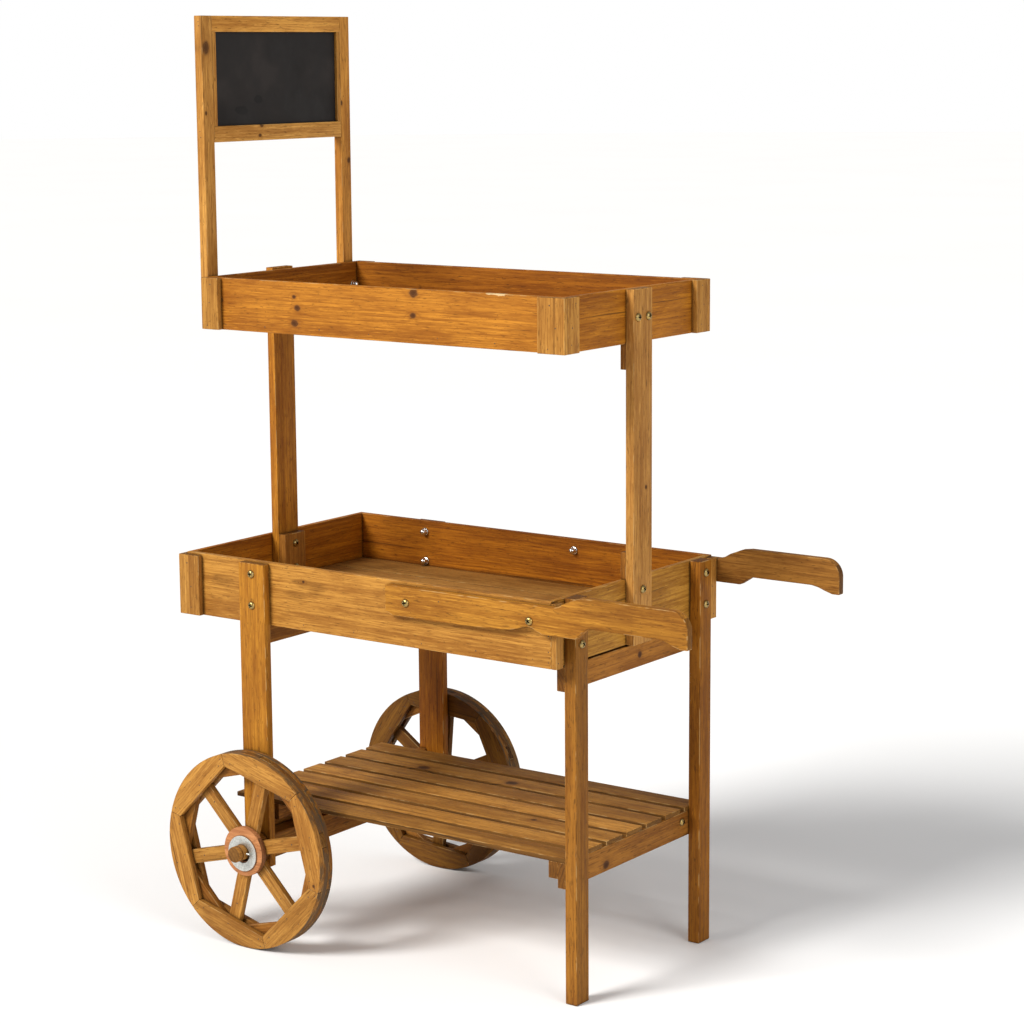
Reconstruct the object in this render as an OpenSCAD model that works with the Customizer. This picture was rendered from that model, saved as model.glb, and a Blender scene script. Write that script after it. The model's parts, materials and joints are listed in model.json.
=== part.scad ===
// Two-tier wooden garden display cart with two spoked wheels, two handles and a blackboard sign.
// +X points to the handle end, +Z is up, and the near side is -Y.
// The origin lies on the ground, under the middle of the cart's outer box.

/* [Overall] */
// Height of the sign's top edge above the ground
total_h = 1400; // [1300:10:1500]
// Length of the lower tray over its end boards
lower_len = 681; // [640:1:740]
// Width of the lower tray over its side boards
lower_w = 423; // [400:1:460]
// Height of the underside of the lower tray
lower_z = 497; // [460:1:530]
// Height of the lower tray's boards
lower_h = 96; // [85:1:110]
// Length of the upper tray over its end boards
upper_len = 658; // [620:1:672]
// Width of the upper tray over its side boards
upper_w = 360; // [330:1:380]
// Height of the underside of the upper tray
upper_z = 934; // [880:1:960]
// Height of the upper tray's boards
upper_h = 78; // [70:1:90]

/* [Timber] */
// Thickness of the thin boards
board_t = 9; // [8:0.5:10]
// Thickness of the rails, handles and wheel-end legs
rail_t = 13; // [12:0.5:14]
// Thickness of the two posts
post_t = 14; // [13:0.5:15]
// Width of the two posts
post_w = 48; // [44:1:52]

/* [Legs] */
// Width of a wheel-end leg
wheel_leg_w = 50; // [44:1:54]
// Height of a wheel-end leg's lower end
wheel_leg_z = 123; // [118:1:126]
// Depth of a handle-end leg along the cart
handle_leg_t = 19.5; // [18:0.5:22]
// Width of a handle-end leg
handle_leg_w = 31; // [28:1:34]
// How far a handle-end leg stands in from the lower tray's side
handle_leg_in = 32; // [28:1:36]

/* [Trays] */
// Number of floor slats in a tray
floor_slats = 5; // [4:1:8]
// Gap between floor slats
floor_gap = 3; // [2:0.5:6]
// Height of a floor's top face above its tray's underside
floor_up = 22; // [20:1:26]
// Width of a corner trim on the wheel end of the lower tray
trim_w = 40; // [36:1:44]
// Width of a corner trim on the handle end of the lower tray
trim_w_small = 17; // [12:1:20]
// Width of a side trim at the wheel end of the upper tray
trim_w_upper_wheel = 33; // [28:1:40]
// Width of a side trim at the handle end of the upper tray, over its corner
trim_w_upper_handle = 46; // [40:1:50]
// Width of an end trim at the handle end of the upper tray
trim_w_upper_end = 28; // [24:1:34]
// How far the lower tray's trims stop below its top edge
trim_drop = 3; // [2:1:6]

/* [Shelf] */
// Number of shelf slats
shelf_slats = 7; // [5:1:8]
// Width of a shelf slat
shelf_slat_w = 42; // [34:1:44]
// Thickness of a shelf slat
shelf_slat_t = 7; // [6:0.5:9]
// Length of a shelf slat
shelf_len = 620; // [600:1:640]
// Height of the underside of the shelf's slats
shelf_z = 208; // [200:1:215]
// Height of a shelf rail
shelf_rail_h = 38; // [32:1:44]
// Height of a shelf batten
shelf_batten_h = 25; // [20:1:28]
// Thickness of a shelf batten
shelf_batten_t = 16; // [14:1:18]

/* [Wheels] */
// Outer diameter of a wheel
wheel_d = 303; // [290:1:310]
// Distance of the axle from the lower tray's handle-end board
axle_back = 540; // [530:1:545]
// Thickness of one of a wheel's three layers
layer_t = 10; // [8:0.5:10]
// Distance from the axle to the flat inner edge of a rim segment
rim_flat = 115; // [110:1:120]
// Width of a spoke
spoke_w = 22; // [18:1:26]
// Angle of a joint between two outer rim segments of the near wheel
near_turn = 45; // [0:1:60]
// Angle of a joint between two outer rim segments of the far wheel
far_turn = 55; // [0:1:60]
// Diameter of the hub's outer disc
hub_d = 76; // [70:1:84]
// Diameter of the hub's inner disc
hub_back_d = 52; // [46:1:60]
// Diameter of the axle's round ends
axle_d = 24; // [22:0.5:26]
// Reach of an axle end past the leg's outer face
axle_out = 55; // [50:1:60]
// Radial running clearance of a wheel on its axle
axle_play = 0.08; // [0.05:0.01:0.1]
// Gap between a wheel and the leg or the washer beside it
side_play = 0.5; // [0.3:0.1:1]
// Outer diameter of the washer
washer_d = 55; // [48:1:60]
// Hole of the washer
washer_hole_d = 29; // [27:0.5:32]
// Thickness of the washer
washer_t = 2; // [1.5:0.5:3]

/* [Handles] */
// Reach of a handle past the lower tray's end board
handle_out = 231; // [200:1:250]
// Reach of a handle along the lower tray
handle_back = 284; // [260:1:300]
// Height of a handle's grip top above the lower tray's top edge
handle_rise = 14; // [8:1:20]

/* [Sign] */
// Width of the sign over its posts
sign_w = 345; // [320:1:350]
// Width of a sign post
sign_post_w = 23; // [20:1:26]
// Thickness of a sign post and of the sign's rails
sign_t = 15; // [13:1:17]
// Height of the lower end of a sign post
sign_z = 948; // [940:1:955]
// Height of the sign's top rail
sign_rail_h = 24; // [20:1:30]
// Height of the blackboard between the sign's rails
black_h = 140; // [120:1:160]
// Thickness of the blackboard
black_t = 4; // [3:0.5:5]
// Width of the beads that hold the blackboard
bead_w = 8; // [6:1:10]

/* [Fasteners] */
// Diameter of the machine screws
screw_d = 6; // [5:1:6]
// Diameter of a screw's head
head_d = 12.4; // [11:0.2:13]
// Height of a screw's head
head_h = 4; // [3:0.5:5]
// Width of a cap nut across its flats
nut_af = 10; // [9:0.5:11]
// Height of a cap nut over its dome
nut_h = 11; // [10:0.5:13]
// Diameter of the pins through the axle ends
pin_d = 3; // [2.5:0.5:4]
// Length of the pins through the axle ends
pin_len = 38; // [34:1:44]
// Diameter of the dowels
dowel_d = 8; // [6:1:8]

/* [Hidden] */

// Smoothness of round parts
$fn = 64;

// Colours of the stained timber and of the metal
PINE = "#b9803f";
PINE_DARK = "#8f5d2a";
PINE_RED = "#a9683a";
SLATE = "#2f3133";
ZINC = "#b9bdb8";
BRASS = "#c2a35a";

// Shift that brings the middle of the cart's outer box to x = 0
lower_end_x = -lower_len - board_t;
cart_dx = (lower_len + nut_h - handle_out) / 2;

// Heights
lower_top = lower_z + lower_h;
upper_top = upper_z + upper_h;
axle_z = wheel_d / 2;
board_gap = 0.2;

// Half widths
lower_y = lower_w / 2;
upper_y = upper_w / 2;
leg_out_y = lower_y + rail_t;
handle_leg_y = lower_y - handle_leg_in - handle_leg_w;
sign_post_y = sign_w / 2 - sign_post_w;

// Places along the cart, from the handle-end boards' outer faces
upper_wheel_x = -upper_len;
post_x = upper_wheel_x - post_t;
lower_inner_x = -lower_len + board_t;
wheel_leg_x = -axle_back - wheel_leg_w / 2;
sign_x = upper_wheel_x - sign_t;

// Rails that run across the cart under the tray and under the shelf
tray_rail_z = lower_z - 39;
tray_rail_h = 36;
tray_batten_h = 25;
tray_batten_w = 300;
shelf_rail_z = shelf_z - shelf_rail_h;
wheel_rail_x = wheel_leg_x + 1;

// Axle beam between the wheel-end legs, under the shelf's rail
beam_w = 38;
beam_h = 2 * (shelf_rail_z - axle_z);
axle_seat = 60;
bore_gap = 0.05;

// Wheel
wheel_r = wheel_d / 2;
axle_r = axle_d / 2;
hub_back_t = rail_t;
wheel_in_y = leg_out_y + side_play + hub_back_t - layer_t;
wheel_out_y = wheel_in_y + 3 * layer_t;
washer_sag = (washer_hole_d - axle_d) / 2 - bore_gap;
pin_y = wheel_out_y + washer_t + side_play + pin_d;

// Screws
screw_r = screw_d / 2;
hole_r = screw_r + 0.25;
screw_low_z = lower_z + 30;
screw_high_z = lower_z + 78;
upper_screw_z = upper_z + 38;
post_screw_y = 13.5;
nut_grip = 7;

// Each screw: centre of its head's seat, the way it points, and the thickness it clamps
LEG_SCREWS = [
    for (s = [-1, 1], z = [screw_low_z, screw_high_z])
        each [
            [[-axle_back, s * leg_out_y, z], [0, -s, 0], rail_t + board_t],
            [[handle_leg_t, s * (handle_leg_y + handle_leg_w / 2), z], [-1, 0, 0],
                handle_leg_t + board_t]
        ]
];
handle_screw_z = lower_top - 23;
HANDLE_SCREWS = [
    for (s = [-1, 1], x = [-246, -28])
        [[x, s * leg_out_y, handle_screw_z + s * 5], [0, -s, 0], rail_t + board_t]
];
POST_SCREWS = [
    for (z = [lower_z + 41, lower_z + 80])
        each [
            [[post_t, 0, z], [-1, 0, 0], post_t + board_t],
            [[upper_wheel_x + post_t, 0, z], [-1, 0, 0], 2 * post_t + board_t]
        ],
    for (s = [-1, 1])
        each [
            [[post_t, s * post_screw_y, upper_screw_z], [-1, 0, 0], post_t + board_t],
            [[post_x, s * post_screw_y, upper_screw_z], [1, 0, 0], post_t + board_t],
            [[sign_x, s * (sign_post_y + sign_post_w / 2), upper_screw_z + 4], [1, 0, 0],
                sign_t + board_t]
        ]
];
SHELF_SCREWS = [
    for (s = [-1, 1])
        each [
            [[0, s * 130, shelf_z - 14], [-1, 0, 0], rail_t + shelf_batten_t],
            [[wheel_rail_x, s * 130, shelf_z - 14], [1, 0, 0], rail_t + shelf_batten_t]
        ]
];
ALL_SCREWS = concat(LEG_SCREWS, HANDLE_SCREWS, POST_SCREWS, SHELF_SCREWS);

// Each dowel: its middle and the way it points
dowel_len = 18;
DOWELS = [
    for (s = [-1, 1], z = [tray_rail_z + tray_rail_h / 2, shelf_rail_z + shelf_rail_h / 2])
        each [
            [[0, s * (handle_leg_y + handle_leg_w / 2), z], [1, 0, 0]],
            [[wheel_rail_x + rail_t / 2, s * lower_y, z], [0, s, 0]]
        ]
];

// Turns a shape that points along +Z to point along an axis of the cart
module point_to(dir) {
    if (dir.x > 0) rotate([0, 90, 0]) children();
    if (dir.x < 0) rotate([0, -90, 0]) children();
    if (dir.y > 0) rotate([-90, 0, 0]) children();
    if (dir.y < 0) rotate([90, 0, 0]) children();
}

// Moves a shape from the handle-end board's frame to the cart's own frame
module on_cart() {
    translate([cart_dx, 0, 0]) children();
}

// A board between two opposite corners
module board(low, high) {
    translate(low) cube(high - low);
}

// Cuts the clearance holes of the given screws
module drilled(screws) {
    difference() {
        children();
        for (s = screws)
            translate(s[0]) point_to(s[1]) translate([0, 0, -1])
                cylinder(r = hole_r, h = s[2] + 2);
    }
}

// Cuts the blind holes of the dowels
module dowelled() {
    difference() {
        children();
        for (d = DOWELS)
            translate(d[0]) point_to(d[1])
                cylinder(r = dowel_d / 2 + bore_gap, h = dowel_len + 2, center = true);
    }
}

// Side boards of a tray, over the ends of its end boards
module tray_side(side, len, half_w, z, h, screws) {
    y = side < 0 ? -half_w : half_w - board_t;
    color(PINE) on_cart() drilled(screws)
        board([-len, y, z], [0, y + board_t, z + h]);
}

// End boards of a tray, between its side boards
module tray_end(x, half_w, z, h, screws) {
    color(PINE_DARK) on_cart() drilled(screws)
        board([x, -half_w + board_t, z], [x + board_t, half_w - board_t, z + h]);
}

// Floor slats of a tray
module tray_floor(x0, x1, half_w, z) {
    inner = 2 * (half_w - board_t - board_gap);
    slat = (inner - (floor_slats - 1) * floor_gap) / floor_slats;
    color(PINE_RED) on_cart()
        for (i = [0 : floor_slats - 1]) {
            y = -inner / 2 + i * (slat + floor_gap);
            board([x0 + board_gap, y, z + floor_up - board_t],
                [x1 - board_gap, y + slat, z + floor_up]);
        }
}

// Battens across the underside of a tray's floor
module tray_battens(len, half_w, z) {
    batten_w = 40;
    inset = 24;
    for (x = [-len + inset, -len / 2 - batten_w / 2, -inset - batten_w])
        board([x, -half_w + board_t + board_gap, z],
            [x + batten_w, half_w - board_t - board_gap, z + floor_up - board_t]);
}

module lower_side_near() {
    tray_side(-1, lower_len, lower_y, lower_z, lower_h, concat(LEG_SCREWS, HANDLE_SCREWS));
}

module lower_side_far() {
    tray_side(1, lower_len, lower_y, lower_z, lower_h, concat(LEG_SCREWS, HANDLE_SCREWS));
}

module lower_end_wheel() {
    tray_end(-lower_len, lower_y, lower_z, lower_h, POST_SCREWS);
}

module lower_end_handle() {
    tray_end(-board_t, lower_y, lower_z, lower_h, concat(LEG_SCREWS, POST_SCREWS));
}

module lower_floor_slats() {
    tray_floor(lower_inner_x, -board_t, lower_y, lower_z);
}

module upper_side_near() {
    tray_side(-1, upper_len, upper_y, upper_z, upper_h, []);
}

module upper_side_far() {
    tray_side(1, upper_len, upper_y, upper_z, upper_h, []);
}

module upper_end_wheel() {
    tray_end(-upper_len, upper_y, upper_z, upper_h, POST_SCREWS);
}

module upper_end_handle() {
    tray_end(-board_t, upper_y, upper_z, upper_h, POST_SCREWS);
}

module upper_floor_slats() {
    tray_floor(board_t - upper_len, -board_t, upper_y, upper_z);
}

module floor_battens() {
    color(PINE_DARK) on_cart() {
        tray_battens(lower_len, lower_y, lower_z);
        tray_battens(upper_len, upper_y, upper_z);
    }
}

// Corner trims of the lower tray: a pair on each wheel-end corner, one on each handle-end corner
module lower_corner_trims() {
    top = lower_top - trim_drop;
    color(PINE) on_cart()
        for (s = [0, 1]) mirror([0, s, 0]) {
            board([lower_end_x, lower_y, lower_z], [lower_end_x + trim_w, lower_y + board_t, top]);
            board([lower_end_x, lower_y - trim_w, lower_z], [-lower_len, lower_y - board_gap, top]);
            board([0, lower_y - trim_w_small, lower_z], [board_t, lower_y, top]);
        }
}

// Corner trims of the upper tray: a side trim on each corner, and an end trim at the handle end
module upper_corner_trims() {
    color(PINE) on_cart()
        for (s = [0, 1]) mirror([0, s, 0]) {
            board([upper_wheel_x, upper_y, upper_z],
                [upper_wheel_x + trim_w_upper_wheel, upper_y + board_t, upper_top]);
            board([board_t - trim_w_upper_handle, upper_y, upper_z],
                [board_t, upper_y + board_t, upper_top]);
            board([0, upper_y - trim_w_upper_end, upper_z], [board_t, upper_y - board_gap, upper_top]);
        }
}

// Post from the lower tray's floor to the upper tray, at the wheel end
module post_wheel_end() {
    color(PINE_DARK) on_cart() drilled(POST_SCREWS)
        board([post_x, -post_w / 2, lower_z + floor_up], [upper_wheel_x, post_w / 2, upper_top + 3]);
}

// Post outside both end boards, at the handle end
module post_handle_end() {
    color(PINE) on_cart() drilled(POST_SCREWS)
        board([0, -post_w / 2, lower_z], [post_t, post_w / 2, upper_top]);
}

// Block that clamps the wheel-end post against the lower tray's end board
module post_clamp_block() {
    color(PINE_DARK) on_cart() drilled(POST_SCREWS)
        board([upper_wheel_x, -post_w / 2, lower_z + floor_up],
            [upper_wheel_x + post_t, post_w / 2, lower_top]);
}

// Blocks on the handle-end post: one under the upper tray, one on the lower tray's end board
module post_stop_blocks() {
    upper_block_h = 37;
    lower_block_h = 40;
    color(PINE_DARK) on_cart() {
        board([-board_t, -post_w / 2, upper_z - upper_block_h], [0, post_w / 2, upper_z]);
        board([-board_t, -post_w / 2, lower_top], [0, post_w / 2, lower_top + lower_block_h]);
    }
}

module wheel_leg(side) {
    y = side < 0 ? -leg_out_y : lower_y;
    color(PINE) on_cart() drilled(LEG_SCREWS) dowelled() difference() {
        board([wheel_leg_x, y, wheel_leg_z], [wheel_leg_x + wheel_leg_w, y + rail_t, lower_top - 2]);
        translate([-axle_back, y - 1, axle_z]) rotate([-90, 0, 0])
            cylinder(r = axle_r + bore_gap, h = rail_t + 2);
    }
}

module wheel_leg_near() {
    wheel_leg(-1);
}

module wheel_leg_far() {
    wheel_leg(1);
}

module handle_leg(side) {
    y = side < 0 ? -handle_leg_y - handle_leg_w : handle_leg_y;
    color(PINE) on_cart() drilled(LEG_SCREWS) dowelled()
        board([0, y, 0], [handle_leg_t, y + handle_leg_w, lower_top]);
}

module handle_leg_near() {
    handle_leg(-1);
}

module handle_leg_far() {
    handle_leg(1);
}

// Rail across the cart between two heights
module cross_rail(x, half_w, z, h) {
    color(PINE_DARK) on_cart() drilled(SHELF_SCREWS) dowelled()
        board([x, -half_w, z], [x + rail_t, half_w, z + h]);
}

module tray_rail_wheel_end() {
    cross_rail(wheel_rail_x, lower_y, tray_rail_z, tray_rail_h);
}

module tray_rail_handle_end() {
    cross_rail(-rail_t, handle_leg_y + handle_leg_w, tray_rail_z, tray_rail_h);
}

// Batten behind the handle-end rail, under the lower tray's floor
module tray_batten_handle_end() {
    color(PINE_DARK) on_cart()
        board([-rail_t - shelf_batten_t, -tray_batten_w / 2, lower_z - tray_batten_h],
            [-rail_t, tray_batten_w / 2, lower_z]);
}

module shelf_rail_wheel_end() {
    cross_rail(wheel_rail_x, lower_y, shelf_rail_z, shelf_rail_h);
}

module shelf_rail_handle_end() {
    cross_rail(-rail_t, handle_leg_y + handle_leg_w, shelf_rail_z, shelf_rail_h);
}

// Batten under the slats, on the shelf side of a shelf rail
module shelf_batten(x) {
    half_w = handle_leg_y + handle_leg_w;
    color(PINE_DARK) on_cart() drilled(SHELF_SCREWS)
        board([x, -half_w, shelf_z - shelf_batten_h], [x + shelf_batten_t, half_w, shelf_z]);
}

module shelf_batten_wheel_end() {
    shelf_batten(wheel_rail_x + rail_t);
}

module shelf_batten_handle_end() {
    shelf_batten(-rail_t - shelf_batten_t);
}

module shelf_slats() {
    half_w = handle_leg_y + handle_leg_w;
    pitch = (2 * half_w - shelf_slat_w) / (shelf_slats - 1);
    color(PINE_RED) on_cart()
        for (i = [0 : shelf_slats - 1])
            board([-shelf_len, -half_w + i * pitch, shelf_z],
                [0, -half_w + i * pitch + shelf_slat_w, shelf_z + shelf_slat_t]);
}

// Square beam between the wheel-end legs, bored at both ends for the round axle ends
module axle_beam() {
    color(PINE_DARK) on_cart() difference() {
        board([-axle_back - beam_w / 2, -lower_y, axle_z - beam_h / 2],
            [-axle_back + beam_w / 2, lower_y, axle_z + beam_h / 2]);
        for (s = [-1, 1])
            translate([-axle_back, s * lower_y, axle_z]) point_to([0, -s, 0])
                translate([0, 0, -1]) cylinder(r = axle_r + bore_gap, h = axle_seat + 2);
    }
}

// Round axle end, drawn along +Z from the seat in the beam, with a groove near its tip
module axle_end(side) {
    len = axle_seat + rail_t + axle_out;
    groove_w = 2;
    groove_deep = 1.2;
    color(PINE) on_cart() difference() {
        translate([-axle_back, side * (lower_y - axle_seat), axle_z]) point_to([0, side, 0])
            rotate_extrude()
                polygon([
                    [0, 0], [axle_r, 0],
                    [axle_r, len - 9], [axle_r - groove_deep, len - 9],
                    [axle_r - groove_deep, len - 9 + groove_w], [axle_r, len - 9 + groove_w],
                    [axle_r, len - 1], [axle_r - 1, len], [0, len]
                ]);
        translate([-axle_back, side * pin_y, axle_z]) rotate([0, 90, 0])
            cylinder(r = pin_d / 2 + bore_gap, h = 2 * axle_d, center = true);
    }
}

module axle_end_near() {
    axle_end(-1);
}

module axle_end_far() {
    axle_end(1);
}

// Washers between the wheels and the pins, hanging on the axle ends
module axle_washers() {
    color(ZINC) on_cart()
        for (s = [-1, 1])
            translate([-axle_back, s * (wheel_out_y + side_play), axle_z - washer_sag])
                point_to([0, s, 0]) difference() {
                    cylinder(d = washer_d, h = washer_t);
                    translate([0, 0, -1]) cylinder(d = washer_hole_d, h = washer_t + 2);
                }
}

module axle_pins() {
    color(ZINC) on_cart()
        for (s = [-1, 1])
            translate([-axle_back, s * pin_y, axle_z]) rotate([0, 90, 0])
                cylinder(d = pin_d, h = pin_len, center = true);
}

// Places a wheel's part: y runs from the wheel's inner face outwards, turn spins it on the axle
module on_wheel(side, turn) {
    translate([cart_dx - axle_back, side * wheel_in_y, axle_z]) rotate([0, -turn, 0])
        point_to([0, side, 0]) children();
}

// One rim segment: a 60 degree piece of the disc with a straight inner edge, pointing along +X
module rim_segment_shape() {
    joint_gap = 0.1;
    intersection() {
        circle(r = wheel_r, $fn = 180);
        difference() {
            polygon([
                [0, 0], [2 * wheel_r, -2 * wheel_r * tan(30)], [2 * wheel_r, 2 * wheel_r * tan(30)]
            ]);
            for (s = [-1, 1])
                rotate(s * 30) translate([0, -joint_gap]) square([wheel_r * 2, 2 * joint_gap]);
            translate([-wheel_r, -wheel_r]) square([wheel_r + rim_flat, 2 * wheel_r]);
        }
    }
}

// Six rim segments of a face layer
module rim_layer(side, turn, level) {
    color(PINE) on_wheel(side, turn)
        for (i = [0 : 5])
            rotate(i * 60 + 30) translate([0, 0, level * layer_t])
                linear_extrude(layer_t) rim_segment_shape();
}

// Six rim segments of the middle layer, half a segment round and cut back beside the spokes
module rim_middle(side, turn) {
    spoke_gap = 0.2;
    color(PINE_RED) on_wheel(side, turn)
        for (i = [0 : 5])
            rotate(i * 60) translate([0, 0, layer_t]) linear_extrude(layer_t)
                difference() {
                    rim_segment_shape();
                    for (s = [-1, 1])
                        rotate(s * 30) translate([0, -spoke_w / 2 - spoke_gap])
                            square([wheel_r * 2, spoke_w + 2 * spoke_gap]);
                }
}

// Six spokes in the middle layer, cut to a point where they meet round the axle
module spokes(side, turn) {
    joint_gap = 0.1;
    tip = spoke_w / 2 / tan(30);
    color(PINE) on_wheel(side, turn)
        for (i = [0 : 5])
            rotate(i * 60 + 30) translate([0, 0, layer_t]) linear_extrude(layer_t)
                difference() {
                    intersection() {
                        polygon([
                            [joint_gap * 2, 0], [tip, joint_gap - spoke_w / 2],
                            [wheel_r + 1, joint_gap - spoke_w / 2],
                            [wheel_r + 1, spoke_w / 2 - joint_gap], [tip, spoke_w / 2 - joint_gap]
                        ]);
                        circle(r = wheel_r, $fn = 180);
                    }
                    circle(r = axle_r + 1, $fn = 96);
                }
}

// Disc on the outer face of the spokes, with a wide bore round the axle
module hub_outer(side) {
    color(PINE_RED) on_wheel(side, 0) translate([0, 0, 2 * layer_t]) difference() {
        cylinder(d = hub_d, h = layer_t);
        translate([0, 0, -1]) cylinder(d = washer_hole_d + 1, h = layer_t + 2);
    }
}

// Disc on the inner face of the spokes, which runs on the axle
module hub_inner(side) {
    color(PINE_DARK) on_wheel(side, 0) translate([0, 0, layer_t - hub_back_t]) difference() {
        cylinder(d = hub_back_d, h = hub_back_t);
        translate([0, 0, -1]) cylinder(r = axle_r + axle_play, h = hub_back_t + 2);
    }
}

module near_rim_outer() {
    rim_layer(-1, near_turn, 2);
}

module near_rim_middle() {
    rim_middle(-1, near_turn);
}

module near_rim_inner() {
    rim_layer(-1, near_turn, 0);
}

module near_spokes() {
    spokes(-1, near_turn);
}

module near_hub_outer() {
    hub_outer(-1);
}

module near_hub_inner() {
    hub_inner(-1);
}

module far_rim_outer() {
    rim_layer(1, far_turn, 2);
}

module far_rim_middle() {
    rim_middle(1, far_turn);
}

module far_rim_inner() {
    rim_layer(1, far_turn, 0);
}

module far_spokes() {
    spokes(1, far_turn);
}

module far_hub_outer() {
    hub_outer(1);
}

module far_hub_inner() {
    hub_inner(1);
}

// Outline of a handle from the side: x along the cart, y is the height
// reach is where its nose ends, and low the height of its lower edge
module handle_shape(reach, low) {
    top = lower_top - 5;
    grip = lower_top + handle_rise;
    wide_low = low + 4;
    nose_low = top - 33;
    grip_low = top - 23;
    nose_r = 26;
    difference() {
        polygon([
            [-handle_back, top], [12, top], [22, top + 3], [32, top + 9], [42, grip - 6],
            [52, grip - 2], [66, grip], [reach, grip],
            [reach, nose_low], [reach - 12, nose_low], [reach - 25, nose_low + 4],
            [reach - 36, nose_low + 8], [reach - 47, grip_low],
            [70, grip_low], [61, grip_low - 6], [50, wide_low],
            [-6, wide_low], [-17, wide_low + 4], [-24, wide_low + 7.5], [-33, wide_low + 8.5],
            [-44, wide_low + 5], [-56, low + 5.5], [-72, low + 3], [-128, low + 1], [-190, low],
            [-handle_back + 14, low], [-handle_back, low + 5]
        ]);
        translate([reach - nose_r, grip - nose_r]) difference() {
            square(nose_r + 1);
            circle(r = nose_r);
        }
    }
}

module handle(y, reach, low) {
    color(PINE) on_cart() drilled(HANDLE_SCREWS)
        translate([0, y, 0]) rotate([90, 0, 0]) linear_extrude(rail_t) handle_shape(reach, low);
}

module handle_near() {
    handle(-lower_y, handle_out, lower_top - 49);
}

// The far handle is cut a little shorter, and shallower below
module handle_far() {
    handle(leg_out_y, handle_out - 12, lower_top - 45);
}

module sign_post(side) {
    y = side < 0 ? -sign_w / 2 : sign_post_y;
    color(PINE) on_cart() drilled(POST_SCREWS)
        board([sign_x, y, sign_z], [upper_wheel_x, y + sign_post_w, total_h]);
}

module sign_post_near() {
    sign_post(-1);
}

module sign_post_far() {
    sign_post(1);
}

module sign_rail(z) {
    color(PINE) on_cart()
        board([sign_x, -sign_post_y, z], [upper_wheel_x, sign_post_y, z + sign_rail_h]);
}

module sign_top_rail() {
    sign_rail(total_h - sign_rail_h);
}

module sign_bottom_rail() {
    sign_rail(total_h - 2 * sign_rail_h - black_h);
}

module blackboard() {
    z = total_h - sign_rail_h - black_h;
    x = sign_x + (sign_t - black_t) / 2;
    color(SLATE) on_cart() board([x, -sign_post_y, z], [x + black_t, sign_post_y, z + black_h]);
}

// Upright beads that hold the blackboard beside the posts, on both of its faces
module sign_beads() {
    z = total_h - sign_rail_h - black_h;
    bead_t = (sign_t - black_t) / 2;
    color(PINE_DARK) on_cart()
        for (s = [0, 1], x = [sign_x, upper_wheel_x - bead_t])
            mirror([0, s, 0])
                board([x, sign_post_y - bead_w, z], [x + bead_t, sign_post_y, z + black_h]);
}

// Round-headed machine screw, drawn along +Z from the seat of its head
module screw(grip) {
    rotate_extrude()
        polygon([
            [0, -head_h], [head_d * 0.18, -head_h + 0.2], [head_d * 0.36, -head_h + 1.1],
            [head_d * 0.47, -head_h + 2.4], [head_d / 2, -0.6], [head_d / 2, 0],
            [screw_r, 0], [screw_r, grip + nut_grip], [0, grip + nut_grip]
        ]);
}

module screws(list) {
    color(BRASS) on_cart()
        for (s = list) translate(s[0]) point_to(s[1]) screw(s[2]);
}

module leg_screws() {
    screws(LEG_SCREWS);
}

module handle_screws() {
    screws(HANDLE_SCREWS);
}

module post_screws() {
    screws(POST_SCREWS);
}

module shelf_screws() {
    screws(SHELF_SCREWS);
}

// Cap nut: a hexagon with a dome, open below for the screw
module cap_nut() {
    hex_h = 5;
    dome_r = nut_af / 2 - 0.2;
    difference() {
        union() {
            cylinder(d = nut_af / cos(30), h = hex_h, $fn = 6);
            translate([0, 0, hex_h]) cylinder(r = dome_r, h = nut_h - hex_h - dome_r);
            translate([0, 0, nut_h - dome_r]) sphere(r = dome_r);
        }
        translate([0, 0, -1]) cylinder(r = screw_r + bore_gap, h = nut_grip + 1.5);
    }
}

module cap_nuts() {
    color(ZINC) on_cart()
        for (s = ALL_SCREWS)
            translate(s[0] + s[1] * s[2]) point_to(s[1]) cap_nut();
}

module rail_dowels() {
    color(PINE) on_cart()
        for (d = DOWELS)
            translate(d[0]) point_to(d[1]) cylinder(d = dowel_d, h = dowel_len, center = true);
}

lower_side_near();
lower_side_far();
lower_end_wheel();
lower_end_handle();
lower_floor_slats();
lower_corner_trims();
upper_side_near();
upper_side_far();
upper_end_wheel();
upper_end_handle();
upper_floor_slats();
upper_corner_trims();
floor_battens();
post_wheel_end();
post_handle_end();
post_clamp_block();
post_stop_blocks();
wheel_leg_near();
wheel_leg_far();
handle_leg_near();
handle_leg_far();
tray_rail_wheel_end();
tray_rail_handle_end();
tray_batten_handle_end();
shelf_rail_wheel_end();
shelf_rail_handle_end();
shelf_batten_wheel_end();
shelf_batten_handle_end();
shelf_slats();
axle_beam();
axle_end_near();
axle_end_far();
axle_washers();
axle_pins();
near_rim_outer();
near_rim_middle();
near_rim_inner();
near_spokes();
near_hub_outer();
near_hub_inner();
far_rim_outer();
far_rim_middle();
far_rim_inner();
far_spokes();
far_hub_outer();
far_hub_inner();
handle_near();
handle_far();
sign_post_near();
sign_post_far();
sign_top_rail();
sign_bottom_rail();
sign_beads();
blackboard();
leg_screws();
handle_screws();
post_screws();
shelf_screws();
cap_nuts();
rail_dowels();
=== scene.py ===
import json
import math
import random

import bmesh
import bpy
from mathutils import Matrix, Vector

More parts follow.
